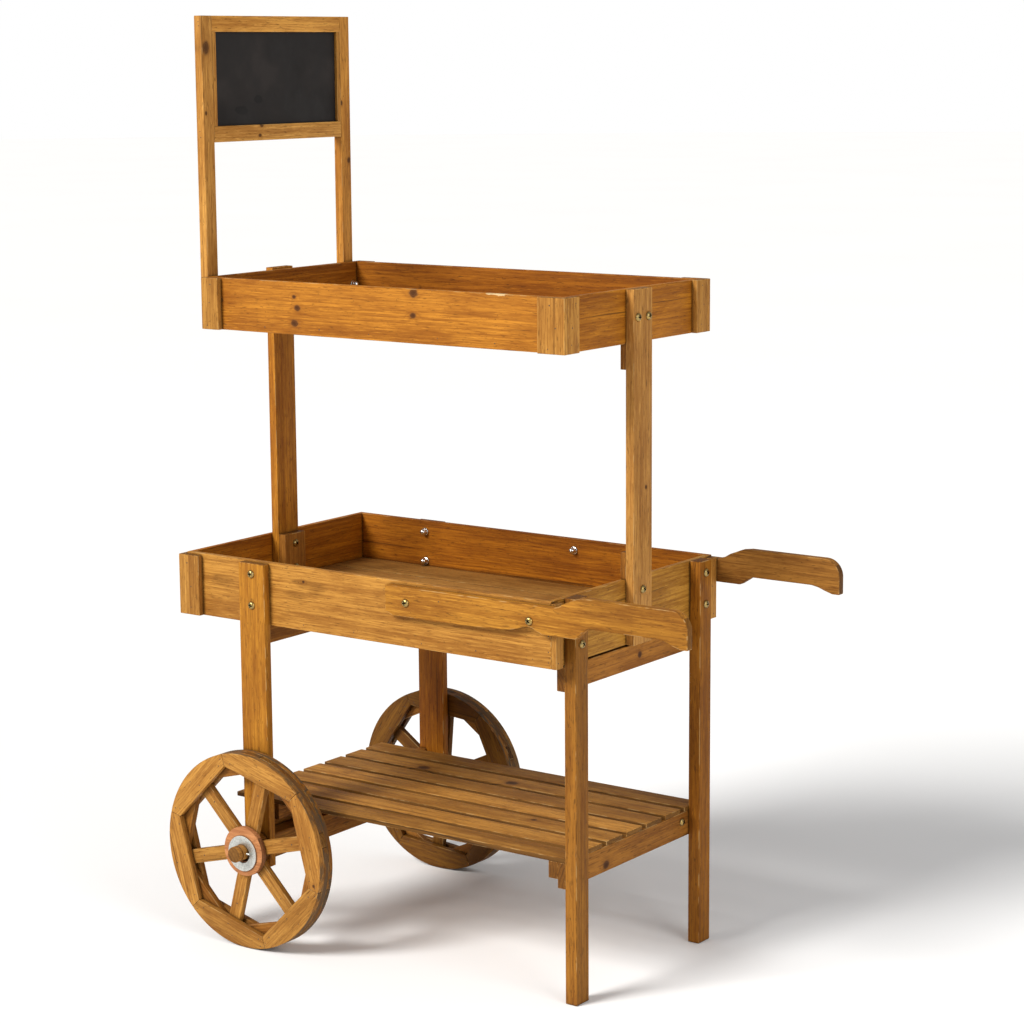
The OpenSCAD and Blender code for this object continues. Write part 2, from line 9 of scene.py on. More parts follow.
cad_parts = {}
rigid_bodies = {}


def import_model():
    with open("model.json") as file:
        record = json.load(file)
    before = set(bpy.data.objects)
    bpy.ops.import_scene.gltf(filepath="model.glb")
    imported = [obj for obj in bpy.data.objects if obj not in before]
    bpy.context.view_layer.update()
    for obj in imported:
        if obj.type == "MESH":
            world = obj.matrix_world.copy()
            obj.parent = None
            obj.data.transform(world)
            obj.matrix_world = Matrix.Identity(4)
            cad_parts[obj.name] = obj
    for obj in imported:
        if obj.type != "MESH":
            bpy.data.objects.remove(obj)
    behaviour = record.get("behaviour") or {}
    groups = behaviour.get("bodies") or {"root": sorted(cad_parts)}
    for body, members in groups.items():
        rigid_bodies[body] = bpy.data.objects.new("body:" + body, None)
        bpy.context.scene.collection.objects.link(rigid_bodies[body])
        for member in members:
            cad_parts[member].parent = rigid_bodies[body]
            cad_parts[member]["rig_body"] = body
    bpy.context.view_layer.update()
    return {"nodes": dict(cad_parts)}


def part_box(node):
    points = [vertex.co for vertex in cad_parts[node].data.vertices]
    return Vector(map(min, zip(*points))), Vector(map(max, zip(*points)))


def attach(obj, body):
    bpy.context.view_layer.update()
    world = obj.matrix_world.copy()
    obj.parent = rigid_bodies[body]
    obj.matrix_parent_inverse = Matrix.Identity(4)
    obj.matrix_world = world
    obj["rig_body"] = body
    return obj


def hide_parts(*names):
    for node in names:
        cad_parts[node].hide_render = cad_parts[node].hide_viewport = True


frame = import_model()

MM = 0.001
X, Y, Z = Vector((1, 0, 0)), Vector((0, 1, 0)), Vector((0, 0, 1))
UNIT = (X, Y, Z)
WHEEL_BODIES = ("near_wheel", "far_wheel")
rng = random.Random(7)

# The Mix node's colour sockets
MIX_A, MIX_B, MIX_OUT = 6, 7, 2


# ---------------------------------------------------------------- material graphs

class Graph:
    """A new material and short ways to add its nodes. Inputs are sockets or plain values."""

    def __init__(self, name):
        self.material = bpy.data.materials.new(name)
        self.material.use_nodes = True
        self.tree = self.material.node_tree
        self.tree.nodes.clear()
        self.shader = self.tree.nodes.new("ShaderNodeBsdfPrincipled")
        output = self.tree.nodes.new("ShaderNodeOutputMaterial")
        self.tree.links.new(self.shader.outputs[0], output.inputs["Surface"])

    def put(self, socket, value):
        if isinstance(value, bpy.types.NodeSocket):
            self.tree.links.new(value, socket)
        else:
            socket.default_value = value

    def set(self, name, value):
        self.put(self.shader.inputs[name], value)

    def coordinates(self):
        return self.tree.nodes.new("ShaderNodeTexCoord").outputs["Object"]

    def attribute(self, name, output):
        n = self.tree.nodes.new("ShaderNodeAttribute")
        n.attribute_name = name
        return n.outputs[output]

    def math(self, operation, a, b):
        n = self.tree.nodes.new("ShaderNodeMath")
        n.operation = operation
        self.put(n.inputs[0], a)
        self.put(n.inputs[1], b)
        return n.outputs[0]

    def vector(self, operation, a, b=(0, 0, 0)):
        n = self.tree.nodes.new("ShaderNodeVectorMath")
        n.operation = operation
        self.put(n.inputs[0], a)
        self.put(n.inputs[1], b)
        return n.outputs["Value" if operation == "LENGTH" else "Vector"]

    def noise(self, place, scale, detail=2.0, roughness=0.5):
        """Noise with its own number of waves a metre along each axis of place."""
        n = self.tree.nodes.new("ShaderNodeTexNoise")
        self.put(n.inputs["Vector"], self.vector("MULTIPLY", place, scale))
        n.inputs["Scale"].default_value = 1.0
        n.inputs["Detail"].default_value = detail
        n.inputs["Roughness"].default_value = roughness
        return n.outputs[0]

    def span(self, value, low, high, to_low=0.0, to_high=1.0):
        """A smooth step from to_low to to_high as value goes from low to high."""
        n = self.tree.nodes.new("ShaderNodeMapRange")
        n.interpolation_type = "SMOOTHSTEP"
        for socket, v in zip(n.inputs, (value, low, high, to_low, to_high)):
            self.put(socket, v)
        return n.outputs[0]

    def ramp(self, value, stops):
        n = self.tree.nodes.new("ShaderNodeValToRGB")
        self.put(n.inputs[0], value)
        band = n.color_ramp
        while len(band.elements) < len(stops):
            band.elements.new(0.5)
        for element, (at, colour) in zip(band.elements, stops):
            element.position = at
            element.color = (*colour, 1)
        return n.outputs[0]

    def mix(self, share, a, b, blend="MIX"):
        n = self.tree.nodes.new("ShaderNodeMix")
        n.data_type = "RGBA"
        n.blend_type = blend
        n.clamp_factor = True
        self.put(n.inputs[0], share)
        self.put(n.inputs[MIX_A], a if isinstance(a, bpy.types.NodeSocket) else (*a, 1))
        self.put(n.inputs[MIX_B], b if isinstance(b, bpy.types.NodeSocket) else (*b, 1))
        return n.outputs[MIX_OUT]

    def bump(self, height, strength, distance):
        n = self.tree.nodes.new("ShaderNodeBump")
        n.inputs["Strength"].default_value = strength
        n.inputs["Distance"].default_value = distance
        self.put(n.inputs["Height"], height)
        self.put(self.shader.inputs["Normal"], n.outputs[0])


def grey(value):
    return (value, value, value)


# Further than any spot shows, in its radii, and the step in distance from one solid to the next
FAR_AWAY, OTHER_SOLID = 9.0, 1000
RING_SPACING = 5.2 * MM
# Cells to a metre along and across the grain, each of which may hold one pin knot
PIN_CELLS = (2.6, 9.0, 9.0)


def pine(name, light, dark, knots=(), scuffs=(), stains=(), weathered=0.0):
    """Stained pine, grained by the boards' own attributes, so that it runs along each piece.

    knots, scuffs and stains are (along, across, radius, solid number) in metres from that solid's middle.
    """
    g = Graph(name)
    grain = g.attribute("grain", "Vector")
    place = g.attribute("place", "Vector")
    end = g.attribute("end", "Fac")
    wear = g.attribute("wear", "Fac")
    tone = g.attribute("tone", "Fac")

    def deep(share):
        return tuple(c * share for c in dark)

    def nearest(spots, stretch):
        """The distance to the nearest spot on this solid, in radii of that spot."""
        best = FAR_AWAY
        for along, across, radius, number in spots:
            away = g.vector("SUBTRACT", place, (along, across, number))
            away = g.vector("MULTIPLY", away, (stretch / radius, 1 / radius, OTHER_SOLID))
            best = g.math("MINIMUM", g.vector("LENGTH", away), best)
        return best

    # small knots that turn up here and there in every board
    cells = g.tree.nodes.new("ShaderNodeTexVoronoi")
    cells.inputs["Scale"].default_value = 1.0
    sparse = g.vector("MULTIPLY", grain, PIN_CELLS)
    g.put(cells.inputs["Vector"], sparse)
    away = g.vector("SUBTRACT", sparse, cells.outputs["Position"])
    away = g.vector("MULTIPLY", away, (1 / PIN_CELLS[0], 1 / PIN_CELLS[1], 0.0))
    pick = g.tree.nodes.new("ShaderNodeSeparateColor")
    g.put(pick.inputs[0], cells.outputs["Color"])
    size = g.span(pick.outputs[0], 0.72, 1.0, 0.0001, 0.0045)
    pin = g.math("DIVIDE", g.vector("LENGTH", away), size)
    knot = g.math("MINIMUM", pin, nearest(knots, 0.75)) if knots else pin
    ragged = g.noise(grain, (160, 260, 260), 2.0)
    knot = g.math("ADD", knot, g.math("MULTIPLY", g.math("SUBTRACT", ragged, 0.5), 0.7))

    # yearly rings round a pith beside the board, bent a little along its length and round each knot
    bend = g.math("MULTIPLY", g.noise(grain, (1.7, 6, 6), 2.0), 0.030)
    wobble = g.math("MULTIPLY", g.noise(grain, (9, 55, 55), 3.0), 0.0045)
    swell = g.math("MULTIPLY", g.span(knot, 0.6, 4.5, 1.0, 0.0), 0.006)
    pith = g.vector("LENGTH", g.vector("MULTIPLY", grain, (0, 1, 1)))
    radius = g.math("ADD", g.math("ADD", pith, bend), g.math("ADD", wobble, swell))
    ring = g.math("FRACT", g.math("DIVIDE", radius, RING_SPACING), 0.0)
    late = g.ramp(ring, [(at, grey(value)) for at, value in (
        (0.0, 0.05), (0.5, 0.22), (0.84, 1.0), (0.95, 0.5), (1.0, 0.05))])
    late = g.math("MULTIPLY", late, g.span(g.noise(grain, (3, 30, 30), 2.0), 0.3, 0.7, 0.25, 1.0))

    streak = g.noise(grain, (2.4, 75, 75), 4.0, 0.6)
    blotch = g.noise(grain, (7, 24, 24), 5.0, 0.62)
    line = g.noise(grain, (4, 330, 330), 3.0, 0.65)
    fibre = g.noise(grain, (26, 500, 500), 2.0, 0.8)
    fleck = g.noise(grain, (75, 440, 440), 1.0, 0.6)
    speck = g.noise(grain, (330, 420, 420), 1.0, 0.6)
    check = g.noise(grain, (2.2, 140, 140), 3.0, 0.6)

    soak = g.math("ADD", g.math("MULTIPLY", streak, 0.45), g.math("MULTIPLY", blotch, 0.55))
    colour = g.mix(g.span(soak, 0.38, 0.60), dark, light)
    shade = tuple(c * k for c, k in zip(dark, (0.66, 0.58, 0.48)))
    pale = tuple(c * k for c, k in zip(light, (1.20, 1.26, 1.40)))
    colour = g.mix(g.math("MULTIPLY", late, 0.42), colour, shade)
    colour = g.mix(g.span(line, 0.56, 0.36, 0.0, 0.42), colour, shade)
    colour = g.mix(g.span(line, 0.56, 0.70, 0.0, 0.25), colour, pale)
    colour = g.mix(g.span(fibre, 0.50, 0.26, 0.0, 0.85), colour, shade)
    colour = g.mix(g.span(fibre, 0.54, 0.76, 0.0, 0.70), colour, pale)
    colour = g.mix(g.span(fleck, 0.62, 0.74, 0.0, 0.60), colour, deep(0.34))
    colour = g.mix(g.span(check, 0.67, 0.70, 0.0, 0.70), colour, deep(0.25))
    colour = g.mix(g.span(speck, 0.70, 0.78, 0.0, 0.65), colour, deep(0.25))
    colour = g.mix(g.span(blotch, 0.56, 0.74, 0.0, 0.50), colour, deep(0.75))

    heart = g.ramp(g.math("DIVIDE", knot, 2.0), [
        (0.0, (0.012, 0.006, 0.003)), (0.28, (0.020, 0.009, 0.004)), (0.38, (0.075, 0.030, 0.009)),
        (0.46, (0.024, 0.010, 0.004)), (0.58, (0.13, 0.055, 0.014)), (1.0, (0.25, 0.11, 0.026))])
    colour = g.mix(g.span(knot, 0.9, 1.7, 1.0, 0.0), colour, heart)
    colour = g.mix(g.span(knot, 1.2, 3.6, 0.30, 0.0), colour, shade)

    if scuffs:
        torn = nearest(scuffs, 0.30)
        torn = g.math("ADD", torn, g.math("MULTIPLY", g.math("SUBTRACT", ragged, 0.5), 1.2))
        colour = g.mix(g.span(torn, 0.8, 1.1, 0.85, 0.0), colour, (0.70, 0.52, 0.27))

    if stains:
        uneven = g.math("MULTIPLY", g.math("SUBTRACT", streak, 0.5), 3.0)
        soaked = g.math("ADD", nearest(stains, 0.5), uneven)
        colour = g.mix(g.span(soaked, 0.45, 1.30, 0.70, 0.0), colour, (0.62, 0.58, 0.50), "MULTIPLY")

    # end grain drinks more stain, and sideways faces marked for it get the same darkening as painted
    # shade; edges lose stain, and dirt greys the worn tread
    colour = g.mix(g.math("MULTIPLY", end, 0.72), colour, deep(0.50))
    end_rings_and_side_shade = g.math("MULTIPLY", end, late)
    colour = g.mix(g.math("MULTIPLY", end_rings_and_side_shade, 0.80), colour, deep(0.14))
    rubbed = g.noise(grain, (35, 120, 120), 3.0)
    bare = g.math("MULTIPLY", wear, g.span(rubbed, 0.50, 0.62))
    colour = g.mix(g.math("MULTIPLY", bare, 0.45), colour, (0.55, 0.36, 0.15))
    grime = g.math("MULTIPLY", wear, g.span(rubbed, 0.48, 0.36))
    colour = g.mix(g.math("MULTIPLY", grime, 0.65), colour, deep(0.45))
    if weathered:
        dirt = g.span(g.noise(grain, (14, 110, 110), 3.0, 0.7), 0.42, 0.56, 0.0, 1.0)
        colour = g.mix(g.math("MULTIPLY", dirt, weathered), colour, (0.085, 0.056, 0.030))

    # painted shade: the colour darkens where another surface lies within 7 mm, as where boards meet
    occlusion = g.tree.nodes.new("ShaderNodeAmbientOcclusion")
    occlusion.samples = 6
    occlusion.inputs["Distance"].default_value = 0.007
    painted_crevice_shade = g.span(occlusion.outputs["AO"], 0.30, 0.88, 0.85, 0.0)
    colour = g.mix(painted_crevice_shade, colour, deep(0.22))

    level = g.tree.nodes.new("ShaderNodeHueSaturation")
    g.put(level.inputs["Value"], g.span(tone, 0.0, 1.0, 0.86, 1.12))
    g.put(level.inputs["Color"], colour)
    g.set("Base Color", level.outputs[0])
    rough = g.math("ADD", g.math("MULTIPLY", fibre, 0.22), g.math("MULTIPLY", late, -0.08))
    g.set("Roughness", g.math("ADD", rough, 0.52))
    g.set("Specular IOR Level", 0.15)
    height = g.math("ADD", g.math("MULTIPLY", fibre, 0.7), g.math("MULTIPLY", late, 0.45))
    height = g.math("ADD", height, g.math("MULTIPLY", blotch, 0.8))
    height = g.math("ADD", height, g.span(knot, 0.2, 1.1, 0.0, 0.5))
    g.bump(height, 0.55, 0.0006)
    return g.material


def metal(name, colour, second, roughness, bump=0.25):
    """Plated or galvanised steel, with a mottled tint and fine scratches."""
    g = Graph(name)
    coordinates = g.coordinates()
    mottle = g.noise(coordinates, (420, 420, 420), 4.0, 0.6)
    scratch = g.noise(coordinates, (2600, 300, 2600), 2.0)
    g.set("Base Color", g.mix(g.span(mottle, 0.38, 0.62), colour, second))
    g.set("Metallic", 1.0)
    g.set("Roughness", g.math("ADD", g.math("MULTIPLY", scratch, 0.22), roughness))
    g.bump(g.math("ADD", mottle, scratch), bump, 0.0002)
    return g.material


def nail_iron(name):
    """Dark iron with a little rust."""
    g = Graph(name)
    coordinates = g.coordinates()
    rust = g.noise(coordinates, (900, 900, 900), 3.0)
    g.set("Base Color", g.mix(g.span(rust, 0.35, 0.65), (0.035, 0.018, 0.010), (0.09, 0.045, 0.022)))
    g.set("Roughness", g.span(rust, 0.3, 0.7, 0.55, 0.85))
    g.bump(rust, 0.4, 0.0002)
    return g.material


def slate(name):
    """Matt blackboard paint with wiped chalk dust and a few darker rubs."""
    g = Graph(name)
    coordinates = g.coordinates()
    wipe = g.noise(coordinates, (1, 17, 12), 4.0, 0.6)
    cloud = g.noise(coordinates, (1, 9, 12), 3.0, 0.6)
    rub = g.noise(coordinates, (1, 38, 52), 2.0)
    speck = g.noise(coordinates, (1400, 1400, 1400), 2.0)
    low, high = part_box("blackboard")
    smear = FAR_AWAY
    for across, up, widen in ((0.36, 0.27, 1.0), (0.22, 0.16, 1.9)):
        middle = (0, low[1] + across * (high[1] - low[1]), low[2] + up * (high[2] - low[2]))
        away = g.vector("MULTIPLY", g.vector("SUBTRACT", coordinates, middle), (0, 110 / widen, 150))
        smear = g.math("MINIMUM", g.vector("LENGTH", away), smear)
    smear = g.math("ADD", smear, g.math("MULTIPLY", g.math("SUBTRACT", rub, 0.5), 2.0))
    dust = g.math("MULTIPLY", g.span(wipe, 0.42, 0.72), g.span(cloud, 0.38, 0.66))
    colour = g.mix(dust, (0.0125, 0.0102, 0.0092), (0.0265, 0.0218, 0.0198))
    colour = g.mix(g.span(rub, 0.70, 0.80, 0.0, 0.7), colour, (0.008, 0.007, 0.0065))
    colour = g.mix(g.span(speck, 0.66, 0.78, 0.0, 0.25), colour, (0.045, 0.042, 0.040))
    colour = g.mix(g.span(smear, 0.7, 1.1, 0.75, 0.0), colour, (0.006, 0.005, 0.0045))
    g.set("Base Color", colour)
    g.set("Roughness", g.span(wipe, 0.3, 0.7, 0.62, 0.82))
    g.set("Specular IOR Level", 0.3)
    g.bump(speck, 0.3, 0.0002)
    return g.material


# ---------------------------------------------------------------- reading the CAD solids

# The most that the points of a flat face, or two widths of a round solid, may differ
FLAT, ROUND = 1e-5, 2e-4
# The sine of the least turn that makes a corner in an outline
STRAIGHT = 0.004


def solids(node):
    """Each separate solid of a CAD node: its points, and its triangles as point numbers."""
    mesh = frame["nodes"][node].data
    number, points, of_vertex = {}, [], []
    for v in mesh.vertices:
        key = tuple(round(c, 6) for c in v.co)
        if key not in number:
            number[key] = len(points)
            points.append(v.co.copy())
        of_vertex.append(number[key])
    faces = [tuple(of_vertex[i] for i in p.vertices) for p in mesh.polygons]
    parent = list(range(len(points)))

    def root(i):
        while parent[i] != i:
            parent[i] = parent[parent[i]]
            i = parent[i]
        return i

    for f in faces:
        for i in f[1:]:
            parent[root(i)] = root(f[0])
    groups = {}
    for f in faces:
        groups.setdefault(root(f[0]), []).append(f)
    found = []
    for members in groups.values():
        used = sorted({i for f in members for i in f})
        place = {i: k for k, i in enumerate(used)}
        found.append(([points[i] for i in used], [tuple(place[i] for i in f) for f in members]))
    return sorted(found, key=lambda s: tuple(round(c, 4) for c in sum(s[0], Vector()) / len(s[0])))


def corners(points):
    """The lowest and the highest corner of the points' box."""
    low = Vector(min(p[a] for p in points) for a in range(3))
    high = Vector(max(p[a] for p in points) for a in range(3))
    return low, high


def outline(points, faces, axis):
    """The outer edge of a prism's lowest face along an axis, as points in order."""
    low = min(p[axis] for p in points)
    flat = [f for f in faces if all(abs(points[i][axis] - low) < FLAT for i in f)]
    edges = {(a, b) for f in flat for a, b in zip(f, f[1:] + f[:1])}
    following = {a: b for a, b in edges if (b, a) not in edges}
    loops = []
    while following:
        start, loop = next(iter(following)), []
        i = start
        while i in following:
            loop.append(points[i])
            i = following.pop(i)
        loops.append(loop)
    loop = max(loops, key=lambda l: sum((a - b).length for a, b in zip(l, l[1:] + l[:1])))
    kept = []
    for before, p, after in zip(loop[-1:] + loop[:-1], loop, loop[1:] + loop[:1]):
        if (p - before).normalized().cross((after - p).normalized()).length > STRAIGHT:
            kept.append(p)
    return kept


# ---------------------------------------------------------------- building timber

# Faces that meet at more than SHARP are shaded apart, and a prism's edges over BEVELLED are rounded.
SHARP = math.radians(30)
BEVELLED = math.radians(18)
# A face whose normal is this close to an axis counts as facing it.
FACING = 0.75
# Beyond this radius a rim's face is its tread, unless it looks sideways by more than TREAD_SIDE.
TREAD_RADIUS = 146.5 * MM
TREAD_SIDE = 0.55


def as_mesh(name, bm):
    """A mesh of a finished form, which is used up."""
    mesh = bpy.data.meshes.new(name)
    bm.to_mesh(mesh)
    bm.free()
    return mesh


def new_piece(name, bm, body, materials):
    """Makes a finished form into a piece that rides on a body."""
    bm.normal_update()
    mesh = as_mesh(name, bm)
    piece = bpy.data.objects.new(name, mesh)
    bpy.context.scene.collection.objects.link(piece)
    for m in materials:
        mesh.materials.append(m)
    mesh.polygons.foreach_set("use_smooth", [True] * len(mesh.polygons))
    mesh.set_sharp_from_angle(angle=SHARP)
    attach(piece, body)
    return piece


def stand_for(node, name, bm, materials):
    """Makes a piece that stands for a CAD node, on the same body."""
    piece = new_piece(name, bm, frame["nodes"][node]["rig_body"], materials)
    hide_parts(node)


def grain_layers(bm):
    """The attributes that the pine materials read."""
    return (bm.verts.layers.float_vector.new("grain"), bm.verts.layers.float_vector.new("place"),
            bm.verts.layers.float.new("wear"), bm.verts.layers.float.new("tone"),
            bm.loops.layers.float.new("end"))


def lay_grain(bm, layers, verts, rounded, along, depth, number, painted_side_shade=0.0):
    """Gives a solid its place in a tree of its own, and marks its rounded edges, its ends, and how much
    painted shade its sideways faces get.
    """
    grain, place, wear, tone, end = layers
    low, high = corners([v.co for v in verts])
    middle = (low + high) / 2
    across = along.cross(depth)
    # how far up its tree the solid was, and how far beside the pith
    shift = Vector((rng.uniform(0, 40), rng.uniform(-0.03, 0.03),
                    rng.choice((-1, 1)) * rng.uniform(0.02, 0.06)))
    shade = rng.random()
    for v in verts:
        p = v.co - middle
        local = Vector((p.dot(along), p.dot(across), p.dot(depth)))
        v[grain] = local + shift
        v[place] = (local.x, local.y, number)
        v[tone] = shade
        v[wear] = 1.0 if all(f in rounded for f in v.link_faces) else 0.0
    for f in {f for v in verts for f in v.link_faces}:
        f.normal_update()
        cut = 1.0 if abs(f.normal.dot(along)) > FACING else 0.0
        # faces that look across the board darken like end grain by the given share: painted shade
        if abs(f.normal.dot(across)) > FACING:
            cut = painted_side_shade
        for corner in f.loops:
            corner[end] = cut


def add_prism(bm, loop, axis, low, high, width):
    """Adds a prism with rounded edges. Returns its points and its rounding faces."""
    before = set(bm.verts)
    rings = []
    for level in (low, high):
        ring = []
        for p in loop:
            q = p.copy()
            q[axis] = level
            ring.append(bm.verts.new(q))
        rings.append(ring)
    faces = [bm.faces.new(rings[0]), bm.faces.new(list(reversed(rings[1])))]
    n = len(loop)
    for i in range(n):
        j = (i + 1) % n
        faces.append(bm.faces.new((rings[0][j], rings[0][i], rings[1][i], rings[1][j])))
    bmesh.ops.recalc_face_normals(bm, faces=faces)
    for f in faces:
        f.normal_update()
    edges = [e for e in dict.fromkeys(e for f in faces for e in f.edges) if e.calc_face_angle() > BEVELLED]
    made = bmesh.ops.bevel(
        bm, geom=edges, offset=width, segments=3, profile=0.6, affect="EDGES", clamp_overlap=True)
    verts = [v for v in bm.verts if v not in before]
    return verts, set(made["faces"])


def timber(node, material, round_mm=1.1, grain=None, tread=None, painted_side_shade=0.0):
    """Stands for a CAD node with rounded, grained timber, one board for each of its solids.

    grain is a direction, or gives one for a solid's points. Without it, the grain runs along the board.
    The last argument darkens the faces that look across the board, as painted shade.
    """
    bm = bmesh.new()
    layers = grain_layers(bm)
    for number, (points, faces) in enumerate(solids(node)):
        low, high = corners(points)
        size = high - low
        axis = min(range(3), key=lambda a: size[a])
        edge = outline(points, faces, axis)
        verts, rounded = add_prism(bm, edge, axis, low[axis], high[axis], round_mm * MM)
        along = grain(points) if callable(grain) else grain
        if along is None:
            along = UNIT[max(range(3), key=lambda a: size[a])]
        lay_grain(bm, layers, verts, rounded, along, UNIT[axis], number, painted_side_shade)
    if tread:
        centre = hub_centre(frame["nodes"][node]["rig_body"])
        bm.normal_update()
        for f in bm.faces:
            away = f.calc_center_median() - centre
            away.y = 0
            if away.length > TREAD_RADIUS and abs(f.normal.y) < TREAD_SIDE:
                f.material_index = 1
    stand_for(node, node + "_timber", bm, [material] + ([tread] if tread else []))


def hub_centre(body):
    """The middle of a wheel's outer hub disc."""
    low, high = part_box(body.split("_")[0] + "_hub_outer")
    return (low + high) / 2


def add_lathe(bm, profile, centre, axis, steps):
    """Turns (radius, height) points round an axis through centre. Radius 0 closes the form."""
    side = UNIT[(axis + 1) % 3]
    other = UNIT[axis].cross(side)
    rings = []
    verts = []
    for radius, height in profile:
        base = centre + UNIT[axis] * height
        if radius == 0:
            rings.append([bm.verts.new(base)])
        else:
            rings.append([bm.verts.new(base + (side * math.cos(a) + other * math.sin(a)) * radius)
                          for a in (2 * math.pi * k / steps for k in range(steps))])
        verts += rings[-1]
    faces = []
    for one, two in zip(rings, rings[1:] + rings[:1]):
        if len(one) == len(two) == 1:
            continue
        for k in range(steps):
            m = (k + 1) % steps
            if len(one) == 1:
                faces.append(bm.faces.new((one[0], two[m], two[k])))
            elif len(two) == 1:
                faces.append(bm.faces.new((one[k], one[m], two[0])))
            else:
                faces.append(bm.faces.new((one[k], one[m], two[m], two[k])))
    bmesh.ops.recalc_face_normals(bm, faces=faces)
    return verts


def rounded_ring(inner, outer, low, high, width):
    """A ring's section with rounded corners, or a disc's where inner is 0."""
    bend = [(math.cos(a), math.sin(a)) for a in (0, math.pi / 6, math.pi / 3, math.pi / 2)]
    section = [(outer - width + width * c, high - width + width * s) for c, s in bend]
    if inner:
        section += [(inner + width - width * s, high - width + width * c) for c, s in bend]
        section += [(inner + width - width * c, low + width - width * s) for c, s in bend]
    else:
        section += [(0.0, high), (0.0, low)]
    section += [(outer - width + width * s, low + width - width * c) for c, s in bend]
    return section


def turned(node, material, grain, round_mm=1.0, sections=None, steps=72):
    """Stands for CAD discs, washers, pins and axle ends with turned forms of the same size.

    sections gives a section of its own for a solid's middle, radius and half length.
    """
    bm = bmesh.new()
    layers = grain_layers(bm)
    for number, (points, _) in enumerate(solids(node)):
        low, high = corners(points)
        size = high - low
        axis = next(a for a in range(3) if abs(size[(a + 1) % 3] - size[(a + 2) % 3]) < ROUND)
        centre = (low + high) / 2
        radial = [(p - centre - UNIT[axis] * (p - centre)[axis]).length for p in points]
        inner = min(radial) if min(radial) > 1 * MM else 0
        half = size[axis] / 2
        if sections:
            section = sections(centre, max(radial), half)
        else:
            section = rounded_ring(inner, max(radial), -half, half, round_mm * MM)
        verts = add_lathe(bm, section, centre, axis, steps)
        lay_grain(bm, layers, verts, set(), grain, UNIT[(UNIT.index(grain) + 1) % 3], number)
    stand_for(node, node + "_turned", bm, [material])


# ---------------------------------------------------------------- fasteners

def cut_away(bm, cutter):
    """The first form less the second. Both are used up."""
    made = []
    for part in (bm, cutter):
        bmesh.ops.triangulate(part, faces=part.faces)
        made.append(bpy.data.objects.new("fastener_form", as_mesh("fastener_form", part)))
        bpy.context.scene.collection.objects.link(made[-1])
    cut = made[0].modifiers.new("recess", "BOOLEAN")
    cut.operation = "DIFFERENCE"
    cut.object = made[1]
    cut.solver = "EXACT"
    graph = bpy.context.evaluated_depsgraph_get()
    left = bmesh.new()
    left.from_mesh(bpy.data.meshes.new_from_object(made[0].evaluated_get(graph)))
    for o in made:
        bpy.data.objects.remove(o)
    return left


def add_taper(bm, half_length, half_width, top, depth, shrink):
    """A tapered bar, wide at the top and narrow at its lower end."""
    rings = []
    for z, k in ((top, 1.0), (top + depth, shrink)):
        rings.append([bm.verts.new((x * half_length * k, y * half_width * k, z))
                      for x, y in ((-1, -1), (1, -1), (1, 1), (-1, 1))])
    faces = [bm.faces.new(rings[0]), bm.faces.new(list(reversed(rings[1])))]
    for i in range(4):
        j = (i + 1) % 4
        faces.append(bm.faces.new((rings[0][j], rings[0][i], rings[1][i], rings[1][j])))
    bmesh.ops.recalc_face_normals(bm, faces=faces)


# The steps round each turned form on a fastener
FASTENER_STEPS = 48
# A pan head's crown as (radius, height), and its cross recess, in mm
CROWN = ((0.0, -4.0), (1.4, -3.97), (2.8, -3.78), (4.0, -3.35), (5.0, -2.65), (5.7, -1.75),
         (6.05, -0.95), (6.15, -0.4), (6.05, -0.02), (0.0, 0.0))
RECESS_ARM, RECESS_HALF_WIDTH = 3.9, 0.95
RECESS_TOP, RECESS_DEPTH, RECESS_TAPER = -4.4, 2.9, 0.6


def crown_height(radius):
    """The height of a pan head's crown at a radius, in mm."""
    for (r0, z0), (r1, z1) in zip(CROWN, CROWN[1:]):
        if r0 <= radius < r1:
            return z0 + (z1 - z0) * (radius - r0) / (r1 - r0)
    return 0.0


def screw_head():
    """A pan head with a cross recess, its seat at z = 0 and its crown towards -Z."""
    bm = bmesh.new()
    add_lathe(bm, [(r * MM, z * MM) for r, z in CROWN], Vector(), 2, FASTENER_STEPS)
    for arms in ((RECESS_ARM, RECESS_HALF_WIDTH), (RECESS_HALF_WIDTH, RECESS_ARM)):
        cutter = bmesh.new()
        add_taper(cutter, arms[0] * MM, arms[1] * MM, RECESS_TOP * MM, RECESS_DEPTH * MM, RECESS_TAPER)
        bm = cut_away(bm, cutter)
    form = as_mesh("screw_head_form", bm)

    # the faces between the crown and the seat are the recess's, and take the near-black second material:
    # painted shade in the cross
    for p in form.polygons:
        x, y, z = (c / MM for c in p.center)
        out = math.hypot(x, y)
        if out < RECESS_ARM + 0.1 and crown_height(out) + 0.12 < z < -0.5:
            p.material_index = 1
    return form


NUT_LENGTH = 11 * MM
# Points this much nearer to the axis than the furthest one count as just as far.
WIDEST = 0.05 * MM


